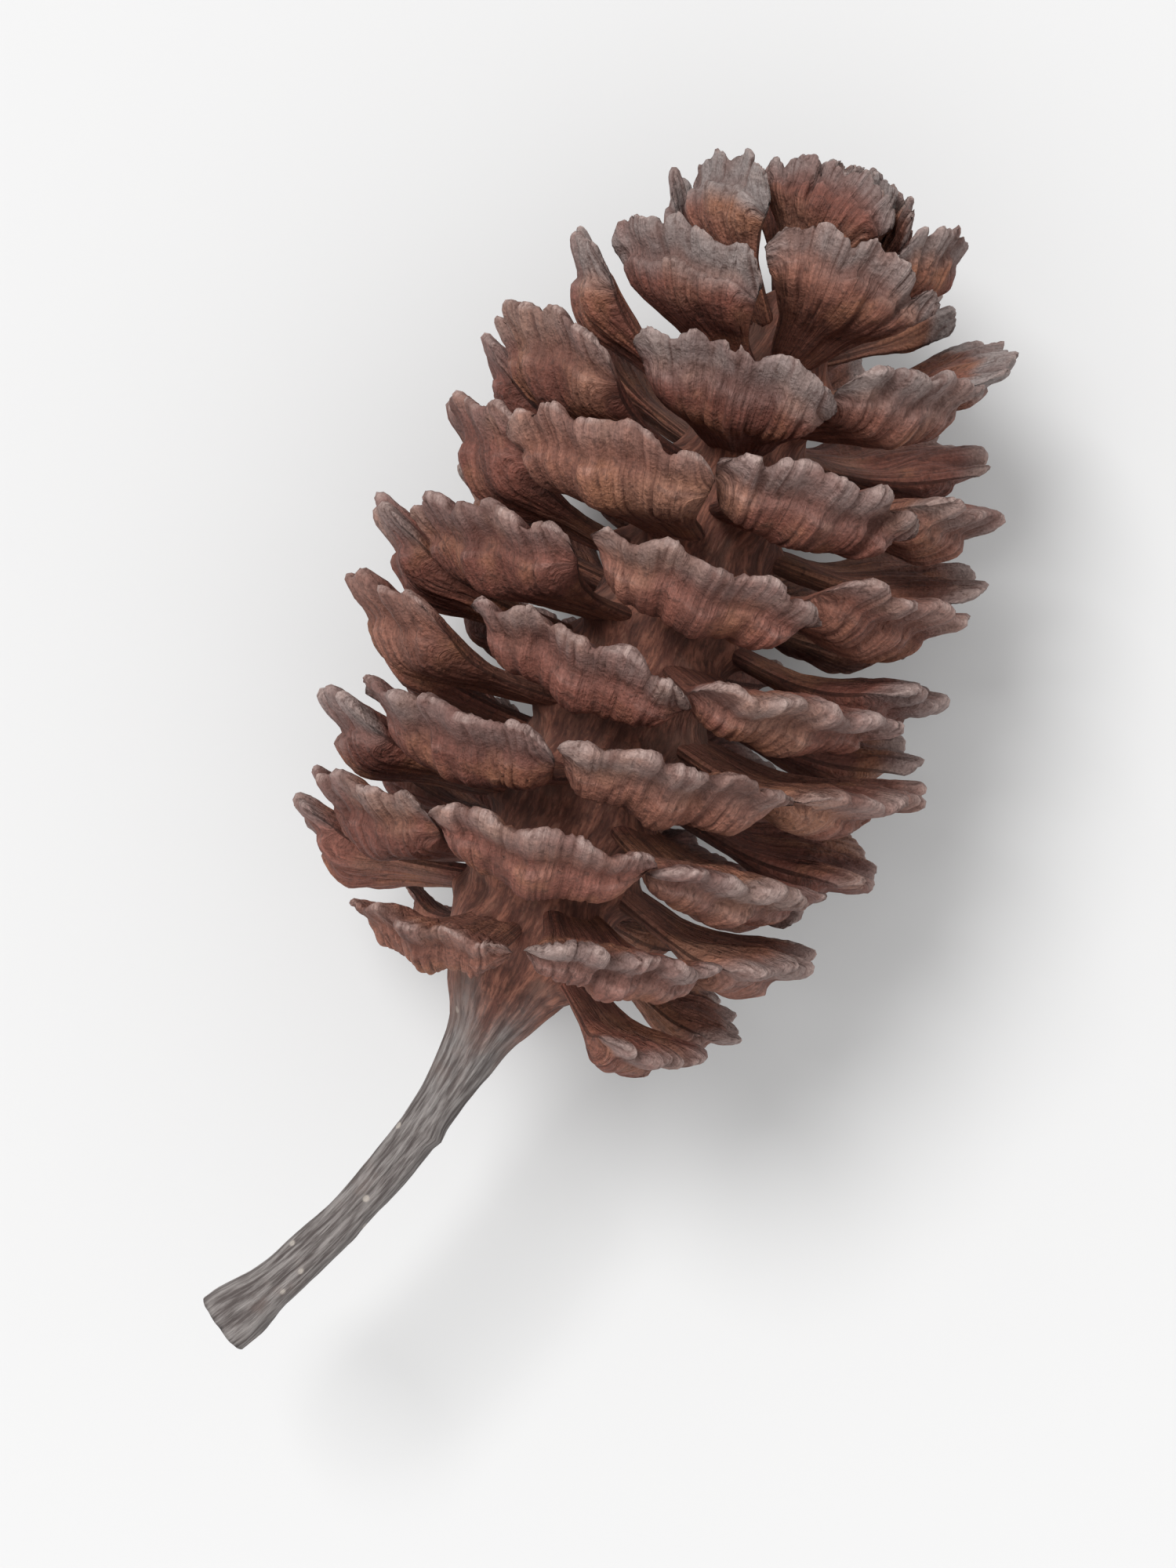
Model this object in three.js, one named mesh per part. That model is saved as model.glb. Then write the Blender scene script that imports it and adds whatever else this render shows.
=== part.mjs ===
// An open alder cone, as picked: a woody axis that runs on into a short curved stalk, and the spiral of
// fan-shaped woody scales that stand out from it. It lies on its side, resting on the tips of its scales.
// Millimetres, +Z up. The cone points along +Y, and the origin is on the surface under the middle.

import * as THREE from "three";
import { LoftGeometry } from "three/addons/geometries/LoftGeometry.js";

// ---- driving dimensions -------------------------------------------------------------------------------
// In the cone's own frame Z runs along its axis, from 0 where the stalk widens into the cone to its tip.

const SCALE_COUNT = 58;
const GOLDEN_ANGLE = 137.508; // degrees from each scale to the next

// Each row below is a place along the spiral, 0 at the stalk and 1 at the tip, and the value there.
const SCALE_Z = [[0, 0.8], [0.8, 13.6], [1, 17.1]];
const TIP_RADIUS = [
  [0, 4.4],
  [0.1, 5.7],
  [0.25, 6.4],
  [0.45, 6.55],
  [0.65, 6.3],
  [0.8, 5.6],
  [0.9, 4.6],
  [1, 2.2],
];
// How far a scale slopes up towards the tip, in degrees.
const SCALE_RISE = [
  [0, -28],
  [0.1, -15],
  [0.2, -9],
  [0.45, -4],
  [0.7, 3],
  [0.8, 12],
  [0.88, 24],
  [0.94, 38],
  [1, 64],
];
const EDGE_HALF_WIDTH = [
  [0, 1.8],
  [0.1, 2.35],
  [0.25, 2.6],
  [0.45, 2.62],
  [0.65, 2.5],
  [0.8, 2.2],
  [0.9, 2.05],
  [1, 1.6],
];
// What share of FOOT_HALF_WIDTH, FOOT_THICKNESS and LIP_THICKNESS a scale has.
const STOUTNESS = [[0, 0.85], [0.12, 1], [0.7, 1], [0.85, 0.78], [1, 0.5]];

// The woody core, as its radius at each height, from the cut end of the stalk to the bud at the tip.
const STALK_LENGTH = 9.2;
const CORE_RADIUS = [
  [-STALK_LENGTH, 0.72],
  [-8.8, 0.74],
  [-8, 0.52],
  [-5.5, 0.46],
  [-2.5, 0.5],
  [-1, 0.72],
  [0, 1.25],
  [1.2, 1.7],
  [6, 1.8],
  [11, 1.55],
  [14.5, 1.1],
  [17.2, 0.6],
  [18.6, 0.3],
];
const CORE_SIDES = 14;
const STALK_STEP = 1.15; // between the rings along it
const STALK_BEND = 2.6; // how far its cut end leans away from the cone's axis
const STALK_BEND_TOWARDS = -152; // degrees round the axis, which is level once the cone lies down

const FOOT_HALF_WIDTH = 0.65;
const FOOT_THICKNESS = 0.45;
const LIP_THICKNESS = 1.65; // the swollen outer edge, at its middle
const LIP_CORNER_TAPER = 0.5; // share of that thickness lost at the two corners
const THICKEN_START = 0.2; // where a scale starts to thicken, as a share of its length
const THICKEN_END = 0.9;
// A scale's outline from the side: rows of how far out, as a share of its length, and how far up or down,
// as a share of half its thickness. Its outer face slopes back below the upper rim.
const OUTLINE = [
  [0, 1],
  [0.4, 1],
  [0.75, 1],
  [0.97, 1],
  [1, 0.65],
  [0.96, 0.3],
  [0.88, -0.1],
  [0.86, -0.65],
  [0.76, -1],
  [0.4, -1],
  [0, -1],
];
const BLADE_LIFT = 0.16; // how far a scale curves up towards the tip, as a share of its length
const SEAT_GAP = 0.3; // between a scale's foot and the axis
const LOBES = 5; // in the outer edge of each scale
const LOBE_DEPTH = 0.32;
const EDGE_ROUNDNESS = 0.13; // how far the corners stand back, as a share of the length

const ROW_LEAN = 7; // degrees that a scale's edge leans, in line with the scales on either side of it

const AZIMUTH_SPREAD = 2; // degrees either way, and the same for the two below
const RISE_SPREAD = 2.5;
const TWIST_SPREAD = 5;
const LENGTH_SPREAD = 0.08; // share of a scale's length
const SPREAD_SEED = 38; // another number gives another cone of the same kind

// How the cone lies: rolled round its own axis, then its tip lowered a little, so that three scales touch
// the surface. Both are in degrees.
const REST_ROLL = 331.726;
const REST_PITCH = -1.84;

// ---- helpers ------------------------------------------------------------------------------------------

const { degToRad, lerp, mapLinear, smoothstep } = THREE.MathUtils;

/** The value at x in a list of [x, value] rows, with straight lines between them. */
function along(rows, x) {
  const next = Math.max(1, rows.findIndex((row) => row[0] >= x));
  const [x0, v0] = rows[next - 1];
  const [x1, v1] = rows[next];
  return mapLinear(x, x0, x1, v0, v1);
}

/** A repeatable number from -1 to 1, so that no two scales are quite alike. */
function jitter(index, channel) {
  const wave = Math.sin(12.9898 * (index + 1) + 78.233 * channel + SPREAD_SEED) * 43758.5453;
  return 2 * (wave - Math.floor(wave)) - 1;
}

const wood = (color) => new THREE.MeshStandardMaterial({ color, roughness: 0.85, metalness: 0 });
const scaleWood = wood(0x73564c);
const stalkBark = wood(0x5a5350);

// ---- the stalk and the axis, which grew as one piece --------------------------------------------------

/** A ring round the core's middle line, square to it. The line bends away below height 0. */
function coreRing(z) {
  const share = Math.max(0, -z / STALK_LENGTH);
  const up = new THREE.Vector3(0, 0, 1);
  const sideways = new THREE.Vector3(1, 0, 0).applyAxisAngle(up, degToRad(STALK_BEND_TOWARDS));
  const across = up.clone().cross(sideways);
  const centre = sideways.clone().multiplyScalar(STALK_BEND * share ** 2).setZ(z);
  const slope = (-2 * STALK_BEND * share) / STALK_LENGTH;
  const heading = sideways.clone().multiplyScalar(slope).add(up).normalize();
  const inward = across.clone().cross(heading);
  const radius = along(CORE_RADIUS, z);
  return Array.from({ length: CORE_SIDES }, (_, side) => {
    const angle = (2 * Math.PI * side) / CORE_SIDES;
    return centre
      .clone()
      .addScaledVector(inward, radius * Math.cos(angle))
      .addScaledVector(across, radius * Math.sin(angle));
  });
}

function stalkAndAxis() {
  const heights = CORE_RADIUS.map((row) => row[0]);
  for (let z = STALK_STEP - STALK_LENGTH; z < 0; z += STALK_STEP) heights.push(z);
  heights.sort((a, b) => a - b);
  const geometry = new LoftGeometry(heights.map(coreRing), { capStart: true, capEnd: true });
  const mesh = new THREE.Mesh(geometry, stalkBark);
  mesh.name = "stalk_and_axis";
  return mesh;
}

// ---- one scale ----------------------------------------------------------------------------------------
// A scale's own frame: X runs out from its foot, Y across it and Z towards the cone's tip.

/** A point of a scale: `out` from foot 0 to edge 1, `across` and `through` it from -1 to 1. */
function scalePoint({ length, edgeHalfWidth, stoutness }, out, across, through) {
  const lobe = Math.abs(Math.cos((Math.PI / 2) * LOBES * across)) ** 0.6;
  const reach = length * (1 - EDGE_ROUNDNESS * across ** 2) - LOBE_DEPTH * (1 - lobe);
  const halfWidth = lerp(FOOT_HALF_WIDTH * stoutness, edgeHalfWidth, out);
  const lipThickness = LIP_THICKNESS * (1 - LIP_CORNER_TAPER * Math.abs(across) ** 3);
  const swelling = smoothstep(out, THICKEN_START, THICKEN_END);
  const thickness = stoutness * lerp(FOOT_THICKNESS, lipThickness, swelling);
  return new THREE.Vector3(
    reach * out,
    halfWidth * across,
    BLADE_LIFT * length * out ** 2 + (thickness / 2) * through,
  );
}

function scaleGeometry(size) {
  const sections = Array.from({ length: 2 * LOBES + 1 }, (_, i) =>
    OUTLINE.map(([out, through]) => scalePoint(size, out, i / LOBES - 1, through)),
  );
  return new LoftGeometry(sections, { capStart: true, capEnd: true });
}

function scale(index) {
  const share = index / (SCALE_COUNT - 1);
  const height = along(SCALE_Z, share);
  const rise = degToRad(along(SCALE_RISE, share) + RISE_SPREAD * jitter(index, 1));
  const tipRadius = along(TIP_RADIUS, share);
  const foot = along(CORE_RADIUS, height) + SEAT_GAP + (FOOT_THICKNESS / 2) * Math.abs(Math.sin(rise));
  const length = ((tipRadius - foot) / Math.cos(rise)) * (1 + LENGTH_SPREAD * jitter(index, 2));

  const edgeHalfWidth = along(EDGE_HALF_WIDTH, share);
  const stoutness = along(STOUTNESS, share);

  const mesh = new THREE.Mesh(scaleGeometry({ length, edgeHalfWidth, stoutness }), scaleWood);
  mesh.name = `scale_${String(index + 1).padStart(2, "0")}`;
  mesh.rotation.x = degToRad(ROW_LEAN + TWIST_SPREAD * jitter(index, 3));
  const tilted = new THREE.Group().add(mesh);
  tilted.position.set(foot, 0, height);
  tilted.rotation.y = -rise;
  const turned = new THREE.Group().add(tilted);
  turned.rotation.z = degToRad(GOLDEN_ANGLE * index + AZIMUTH_SPREAD * jitter(index, 4));
  return turned;
}

// ---- the cone, lying on its side ----------------------------------------------------------------------

const upright = new THREE.Group().add(stalkAndAxis());
for (let index = 0; index < SCALE_COUNT; index += 1) upright.add(scale(index));
upright.rotation.z = degToRad(REST_ROLL);

const laid = new THREE.Group().add(upright);
laid.rotation.x = degToRad(REST_PITCH - 90);

const alderCone = new THREE.Group().add(laid);
const box = new THREE.Box3().setFromObject(alderCone, true);
laid.position.set(-(box.min.x + box.max.x) / 2, -(box.min.y + box.max.y) / 2, -box.min.z);

export default alderCone;
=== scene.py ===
# The looks of an open alder cone lying on its side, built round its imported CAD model.
import itertools
import math

import bmesh
import bpy
import numpy as np
from mathutils import Matrix, Vector


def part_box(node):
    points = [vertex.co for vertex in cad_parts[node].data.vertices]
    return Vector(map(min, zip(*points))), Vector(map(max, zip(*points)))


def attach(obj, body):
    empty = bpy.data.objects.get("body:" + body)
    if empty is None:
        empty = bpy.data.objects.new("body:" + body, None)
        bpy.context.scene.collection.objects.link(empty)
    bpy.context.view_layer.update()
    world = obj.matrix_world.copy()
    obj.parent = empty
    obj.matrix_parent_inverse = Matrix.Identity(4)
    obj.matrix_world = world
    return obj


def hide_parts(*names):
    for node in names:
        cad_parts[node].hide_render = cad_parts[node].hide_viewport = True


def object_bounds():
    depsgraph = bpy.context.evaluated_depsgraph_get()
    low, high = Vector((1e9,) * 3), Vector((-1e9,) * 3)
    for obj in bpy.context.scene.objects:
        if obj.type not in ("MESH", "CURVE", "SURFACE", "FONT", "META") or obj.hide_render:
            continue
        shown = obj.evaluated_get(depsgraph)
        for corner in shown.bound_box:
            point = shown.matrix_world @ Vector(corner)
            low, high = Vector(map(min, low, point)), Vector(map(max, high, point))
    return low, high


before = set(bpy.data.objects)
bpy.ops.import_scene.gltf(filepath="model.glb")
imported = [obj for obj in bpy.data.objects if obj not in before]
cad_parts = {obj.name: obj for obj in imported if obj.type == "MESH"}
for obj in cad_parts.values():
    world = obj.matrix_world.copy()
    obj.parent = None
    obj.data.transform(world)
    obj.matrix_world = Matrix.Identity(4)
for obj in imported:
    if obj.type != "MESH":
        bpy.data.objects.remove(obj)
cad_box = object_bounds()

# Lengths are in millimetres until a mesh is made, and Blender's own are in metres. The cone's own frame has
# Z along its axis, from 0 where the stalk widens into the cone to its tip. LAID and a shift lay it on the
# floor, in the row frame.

MM = 0.001

# ---- the CAD model's dimensions -------------------------------------------------------------------------

SCALE_COUNT = 58
GOLDEN_ANGLE = 137.508  # degrees from each scale to the next

# Each row is a place along the spiral, 0 at the stalk and 1 at the tip, and the value there.
SCALE_Z = [[0, 0.8], [0.8, 13.6], [1, 17.1]]
TIP_RADIUS = [
    [0, 4.4],
    [0.1, 5.7],
    [0.25, 6.4],
    [0.45, 6.55],
    [0.65, 6.3],
    [0.8, 5.6],
    [0.9, 4.6],
    [1, 2.2],
]
# How far a scale slopes up towards the tip, in degrees.
SCALE_RISE = [
    [0, -28],
    [0.1, -15],
    [0.2, -9],
    [0.45, -4],
    [0.7, 3],
    [0.8, 12],
    [0.88, 24],
    [0.94, 38],
    [1, 64],
]
EDGE_HALF_WIDTH = [
    [0, 1.8],
    [0.1, 2.35],
    [0.25, 2.6],
    [0.45, 2.62],
    [0.65, 2.5],
    [0.8, 2.2],
    [0.9, 2.05],
    [1, 1.6],
]
# What share of FOOT_HALF_WIDTH, FOOT_THICKNESS and LIP_THICKNESS a scale has.
STOUTNESS = [[0, 0.85], [0.12, 1], [0.7, 1], [0.85, 0.78], [1, 0.5]]

# The woody core, as its radius at each height, from the cut end of the stalk to the tip.
STALK_LENGTH = 9.2
CORE_RADIUS = [
    [-STALK_LENGTH, 0.72],
    [-8.8, 0.74],
    [-8, 0.52],
    [-5.5, 0.46],
    [-2.5, 0.5],
    [-1, 0.72],
    [0, 1.25],
    [1.2, 1.7],
    [6, 1.8],
    [11, 1.55],
    [14.5, 1.1],
    [17.2, 0.6],
    [18.6, 0.3],
]
STALK_BEND = 2.6  # how far its cut end leans away from the cone's axis
STALK_BEND_TOWARDS = -152  # degrees round the axis

FOOT_HALF_WIDTH = 0.65
FOOT_THICKNESS = 0.45
LIP_THICKNESS = 1.65  # the swollen outer edge, at its middle
LIP_CORNER_TAPER = 0.5  # share of that thickness lost at the two corners
THICKEN_ZONE = (0.2, 0.9)  # where a scale starts and stops thickening, as shares of its length
# The solid's outline from the side: how far out, as a share of the scale's length, and how far up or down, as
# a share of half its thickness.
CAD_OUTLINE = [
    [0, 1],
    [0.4, 1],
    [0.75, 1],
    [0.97, 1],
    [1, 0.65],
    [0.96, 0.3],
    [0.88, -0.1],
    [0.86, -0.65],
    [0.76, -1],
    [0.4, -1],
    [0, -1],
]
BLADE_LIFT = 0.16  # how far a scale curves up towards the tip, as a share of its length
SEAT_GAP = 0.3  # between the foot of a scale's solid and the axis
LOBES = 5  # in the outer edge of each scale
LOBE_DEPTH = 0.32
CAD_LOBE_POWER = 0.6
EDGE_ROUNDNESS = 0.13  # how far the corners stand back, as a share of the length

ROW_LEAN = 7  # degrees that a scale's edge leans, in line with the scales on either side of it
AZIMUTH_SPREAD = 2  # degrees either way, and the same for the two below
RISE_SPREAD = 2.5
TWIST_SPREAD = 5
LENGTH_SPREAD = 0.08  # share of a scale's length
SPREAD_SEED = 38

# How the cone lies: rolled round its own axis, then its tip lowered a little. Both are in degrees.
REST_ROLL = 331.726
REST_PITCH = -1.84

# ---- what the looks add to those shapes -----------------------------------------------------------------
# A place on a scale is `out` from foot 0 to edge 1, `across` it from -1 to 1, and `through` it from -1 on the
# lower face to 1 on the upper. A zone is where a change starts and ends. A patch is a middle and a width, and
# so are the places of the point, the hollows and the crests.

# How grey a scale's edge is: on most scales, how much that varies, and how much greyer it is near the tip.
WEATHER = 0.5
WEATHER_SPREAD = 0.3
WEATHER_AT_TIP = 0.5
TIP_ZONE = (0.7, 0.88)  # along the spiral

# The undeveloped scales past the last full one, each as its value at the first of them and at the last.
TIP_SCALE_COUNT = 8
TIP_SCALE_Z = (17.3, 18.5)
TIP_SCALE_LENGTH = (2.3, 1.2)
TIP_SCALE_HALF_WIDTH = (1.15, 0.55)
TIP_SCALE_RISE = (66, 84)
TIP_SCALE_STOUTNESS = (0.5, 0.3)

# The lobes of a scale's edge: five above the groove and three below it.
LOBES_ABOVE = (4.5, 0.015, 0.36)  # how closely they stand, and how shallow and how wide their notches are
LOBES_BELOW = (2.6, 0.04, 0.4)
LOBE_STRENGTHS = (0.55, 1.3)  # the least and the most
LOBE_STRENGTH_BELOW = 0.8
LOBE_DEEPENING = 1.2  # times LOBE_DEPTH
FULL_HALF_WIDTH = 2  # a narrower edge has shallower lobes
LOBE_SHIFT = 0.08  # across, how far lobes may stand from even places
LOBE_SHIFT_COUNT = 9

# The rest of its edge.
RIM_ZONE = (0.5, 0.97)  # out, where the edge's own shape and roughness set in
SIDE_SQUARENESS = (4, 16)  # the power that the sides are rounded by, at the foot and at the edge
SIDE_ZONE = (0.3, 0.9)  # out, between the two
SIDE_THINNING = 0.98  # 1 would bring the sides to a knife edge
SIDE_SETBACK = 0.3
CORNER_SETBACK = 0.34
CORNER_POWER = 6  # how close to the corners that stays
RAGGEDNESS = 0.1
RAGGED_LUMPS = 6  # in half the width
POINT_LENGTH = 0.15  # the blunt point in the middle of the lower lip
POINT_ACROSS = (0, 0.14)
POINT_THROUGH = (-0.45, 0.3)
CRACK_PLACES = (-0.7, 0.7)  # across, the least and the most
CRACK_STRENGTHS = (-1.2, 0.8)  # one under 0 gives no crack
CRACK_WIDTH = 0.045
CRACK_DEPTH = 0.5

# Its foot, which runs on into the axis.
FOOT_DEPTH = 0.35
FOOT_ZONE = (0, 0.35)  # out

# Its thickness.
CORNER_SWELLING = 0.22  # shares of the thickness, as in the three below
RIM_THINNING = 0.16
NOTCH_THINNING = 0.38
CRACK_THINNING = 0.5
CORNER_PATCH = (0.92, 0.14)  # across
RIB_HEIGHT = 0.12  # the rib under the blade
RIB_PATCH = (0, 0.2)  # across
RIB_START_ZONE = (0, 0.3)  # out
RIB_END_ZONE = (0.6, 0.9)
HOLLOW_DEPTH = 0.16  # the two hollows in the upper face, where the seeds lay
HOLLOW_ACROSS = (0.42, 0.22)
HOLLOW_OUT = (0.45, 0.2)

# How its blade bends: the edge curls up or down, and the blade is cupped, skewed and wavy.
CURL_HEIGHT = 0.12
CURL_ZONE = (0.55, 1)  # out
CUP_HEIGHT = 0.04
CUP_SPREAD = 0.12
CUP_ZONE = (0.2, 1)
SKEW_HEIGHT = 0.12
WAVE_HEIGHT = 0.1
WAVE_RATE = 2.5  # waves across it
WAVE_START_SPREAD = 3  # radians

# Its surface. Creases wind out over the scale, and on round its sides.
COARSE_FIBRE_COUNT = 15
FINE_FIBRE_COUNT = 38
FIBRE_HEIGHT = 0.03
FIBRE_ZONE = (0.05, 0.4)  # out
CREASE_DEPTH = 0.07
CREASE_ZONE = (0.1, 0.7)
CREASE_WIDTH = 0.13  # in a noise that runs from -1 to 1, as for the others
CREASES_ACROSS = 8
CREASES_ROUND_SIDE = 4
CREASES_ALONG = 1.6
FINE_CREASES = (2.3, 1.7, 1)  # how much closer these stand across the scale and along it
FINE_CREASE_WIDTH = 0.16
FINE_CREASE_SHARE = 0.6
SIDE_STRIP = (0.8, 1)  # across, where fibres and creases run on round the side
SIDE_STRIP_FIBRES = 0.4  # how far across the face as many fibres lie as on half of the strip
WOOD_RELIEF = 0.06
WOOD_LUMP = 0.9
RIM_RELIEF = 0.05
RIM_LUMP = 0.3

# Where its colour changes, through the scale: the crests get wear with a painted highlight, and the groove
# gets painted shade.
CREST_ABOVE = (0.85, 0.25)
CREST_BELOW = (-0.35, 0.25)
CREST_BELOW_SHARE = 0.7
GROOVE_PATCH = (0.02, 0.24)
CRACK_NOTCH = 0.8  # how much of a notch a crack counts as

# The core's ends close in rings of falling radius.
END_RING_COUNT = 8
END_RING_SHARES = (0.02, 0.94)  # the least and the most, of the last full ring's radius
TORN_HOLLOW = 0.3
TIP_DOME = 0.25
SMOOTHED_RINGS = 5  # how many rings each radius is averaged over

# The axis swells out to meet each scale's foot, and the stalk is ridged.
SEAT_SWELLING = 0.5
SEAT_LENGTH = 0.36
SEAT_SPREAD = 0.42  # radians round the axis
RIDGE_COUNT = 24
RIDGE_HEIGHT = 0.035
BARK_ZONE = (-1.6, 0.6)  # the heights where bark gives way to the wood of the axis
BARK_EDGE_WAVE = 0.35
BARK_EDGE_WAVE_COUNT = 5
# Each scar's height, its angle round the stalk, how far it stands out, its length and its spread. Angles are
# in radians.
SCARS = [
    (-3.4, 2.2, 0.13, 0.16, 0.9),
    (-6.1, 4.6, 0.1, 0.14, 0.8),
]

# The core's surface.
CORE_RELIEF = 0.05
CORE_LUMP = 0.5
CORE_LUMPS = (1, 1, 0.45)  # how closely they stand, across the axis both ways and along it
CORE_CREASE_DEPTH = 0.06
CORE_CREASE_WIDTH = 0.16
CORE_CREASES = (3.4, 3.4, 0.8)  # the same for creases
FAINTEST_RELIEF = 0.35  # share of it that is left where the core is thinnest
RELIEF_ZONE = (0.2, 0.6)  # radii
TORN_RELIEF = 0.12
TORN_LUMP = 0.25

# What the random numbers and the noises start from, so that each run gives the same cone.
FIRST_SCALE_SEED = 100
CORE_SEED = 7
RAGGED_SEED = 5
WOOD_SEED = 11
RIM_SEED = 23
CORE_RELIEF_SEED = 41
CORE_CREASE_SEED = 47
TORN_SEED = 51
CREASE_SEED = 61
FINE_CREASE_SEED = 67
SCALES_APART = 31  # how far apart the noises of a scale and the next one are, in mm
CREASES_APART = 7

# ---- how fine the meshes are ----------------------------------------------------------------------------

ACROSS_STEPS = 84
SIDE_CROWDING = 0.5  # how far those steps crowd towards a scale's sides
UPPER_STEPS = 24
LOWER_STEPS = 18
RIM_STEPS = 26
CORNER_CUTS = 3  # how often the corners of an outline are cut to round it
CORE_SIDES = 72
CORE_STEP = 0.12
SAME_POINT = 1e-4  # points of a mesh that are closer than this become one

# ---- helpers --------------------------------------------------------------------------------------------


def along(rows, x):
    """The value at x in a list of [x, value] rows, with straight lines between them."""
    return np.interp(x, [row[0] for row in rows], [row[1] for row in rows])


def jitter(index, channel):
    """A repeatable number from -1 to 1, the same that the CAD model uses."""
    wave = math.sin(12.9898 * (index + 1) + 78.233 * channel + SPREAD_SEED) * 43758.5453
    return 2 * (wave - math.floor(wave)) - 1


def lerp(a, b, t):
    return a + (b - a) * t


def smoothstep(x, low, high):
    t = np.clip((x - low) / (high - low), 0, 1)
    return t * t * (3 - 2 * t)


def bell(x, middle, width):
    return np.exp(-(((x - middle) / width) ** 2))


def turn(axis, degrees):
    return np.array(Matrix.Rotation(math.radians(degrees), 3, axis))


def knots(values, x):
    """The value at x on a line through values that stand evenly from -1 to 1."""
    return np.interp(x, np.linspace(-1, 1, len(values)), values)


def flat(values, shape):
    """One number for each point of a grid, from values that may be the same along its rows or columns."""
    return np.broadcast_to(values, shape).astype(float).ravel()


def smooth_noise(points, seed):
    """Noise from -1 to 1 at each row of points, with lumps about 1 across."""
    cell = np.floor(points).astype(np.int64)
    part = points - cell
    ease = part * part * (3 - 2 * part)
    total = np.zeros(len(points))
    for corner in itertools.product((0, 1), repeat=3):
        # A hash of the cell's corner gives the value there. Its constants are large and odd.
        key = (cell + corner) @ np.array([73856093, 19349663, 83492791]) + 2654435761 * (seed + 1)
        key = ((key ^ (key >> 13)) * 1274126177) & 0xFFFFFFFF
        value = ((key ^ (key >> 15)) & 0xFFFF) / 32767.5 - 1
        total += value * np.prod(np.where(corner, ease, 1 - ease), axis=1)
    return total


def rough(points, seed, size, octaves=3):
    """Layered noise, about -1 to 1, at each row of points. Its largest lumps are `size` across."""
    layers = [smooth_noise(points * 2**k / size, seed + k) / 2**k for k in range(octaves)]
    return sum(layers) / 1.5


def creases(places, seed, width):
    """1 along the winding lines where a noise passes 0, falling off on either side of them."""
    return bell(smooth_noise(places, seed), 0, width)


def smooth_path(corners, cuts):
    """A line through rows of x and y whose corners are cut off, again and again, until it is round."""
    path = np.array(corners, dtype=float)
    for _ in range(cuts):
        cut_ends = np.stack([lerp(path[:-1], path[1:], 0.25), lerp(path[:-1], path[1:], 0.75)], axis=1)
        path = np.vstack([path[:1], cut_ends.reshape(-1, 2), path[-1:]])
    return path


# ---- where things are -----------------------------------------------------------------------------------

LAID = turn("X", REST_PITCH - 90) @ turn("Z", REST_ROLL)


class Scale:
    """One scale's size and place, which are those of its CAD solid."""

    def __init__(self, index):
        share = min(index / (SCALE_COUNT - 1), 1)
        self.index = index
        self.node = f"scale_{index + 1:02d}"
        self.name = "wood_" + self.node
        self.height = along(SCALE_Z, share)
        rise = along(SCALE_RISE, share) + RISE_SPREAD * jitter(index, 1)
        slope = math.radians(rise)
        tip_radius = along(TIP_RADIUS, share)
        self.foot = along(CORE_RADIUS, self.height) + SEAT_GAP + FOOT_THICKNESS / 2 * abs(math.sin(slope))
        spread = 1 + LENGTH_SPREAD * jitter(index, 2)
        self.length = (tip_radius - self.foot) / math.cos(slope) * spread
        self.edge_half_width = along(EDGE_HALF_WIDTH, share)
        self.stoutness = along(STOUTNESS, share)
        self.azimuth = GOLDEN_ANGLE * index + AZIMUTH_SPREAD * jitter(index, 4)
        self.weather = WEATHER + WEATHER_SPREAD * jitter(index, 5)
        self.weather += WEATHER_AT_TIP * smoothstep(share, *TIP_ZONE)
        self.turned = turn("Z", self.azimuth)
        self.tilt(rise)

    def tilt(self, rise):
        self.tilted = turn("Y", -rise) @ turn("X", ROW_LEAN + TWIST_SPREAD * jitter(self.index, 3))

    def lay(self, points):
        """Points of the scale's own frame, where X runs out from its foot, Y across it and Z towards the
        cone's tip, in the row frame before the shift."""
        upright = self.turned @ (self.tilted @ points.T + np.array([[self.foot], [0], [self.height]]))
        return (LAID @ upright).T

    def half_width(self, out):
        return lerp(FOOT_HALF_WIDTH * self.stoutness, self.edge_half_width, out)

    def thickness(self, out, across):
        lip = LIP_THICKNESS * (1 - LIP_CORNER_TAPER * np.abs(across) ** 3)
        return self.stoutness * lerp(FOOT_THICKNESS, lip, smoothstep(out, *THICKEN_ZONE))


class TipScale(Scale):
    """One of the scales past the last full one, which never grew and stand on the tip of the axis."""

    def __init__(self, step):
        super().__init__(SCALE_COUNT + step)
        share = step / (TIP_SCALE_COUNT - 1)
        self.node = "stalk_and_axis"
        self.name = f"wood_tip_{step + 1}"
        self.height = lerp(*TIP_SCALE_Z, share)
        self.foot = along(CORE_RADIUS, self.height)
        self.length = lerp(*TIP_SCALE_LENGTH, share)
        self.edge_half_width = lerp(*TIP_SCALE_HALF_WIDTH, share)
        self.stoutness = lerp(*TIP_SCALE_STOUTNESS, share)
        self.tilt(lerp(*TIP_SCALE_RISE, share))


def cad_outline(scale):
    """The corners of a scale's CAD solid, in the scale's own frame."""
    points = []
    for across in np.linspace(-1, 1, 2 * LOBES + 1):
        lobe = abs(math.cos(math.pi / 2 * LOBES * across)) ** CAD_LOBE_POWER
        reach = scale.length * (1 - EDGE_ROUNDNESS * across**2) - LOBE_DEPTH * (1 - lobe)
        for out, through in CAD_OUTLINE:
            thickness = scale.thickness(out, across)
            lift = BLADE_LIFT * scale.length * out**2
            points.append((reach * out, scale.half_width(out) * across, lift + thickness / 2 * through))
    return np.array(points)


def shift_from_frame(scales):
    """How far the laid cone is moved to rest on the floor, in mm, read off the CAD solids' boxes."""
    shifts = []
    for scale in scales:
        low, high = (np.array(corner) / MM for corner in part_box(scale.node))
        laid = scale.lay(cad_outline(scale))
        shifts.append((low + high) / 2 - (laid.min(axis=0) + laid.max(axis=0)) / 2)
    return np.mean(shifts, axis=0), float(np.ptp(shifts, axis=0).max())


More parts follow.
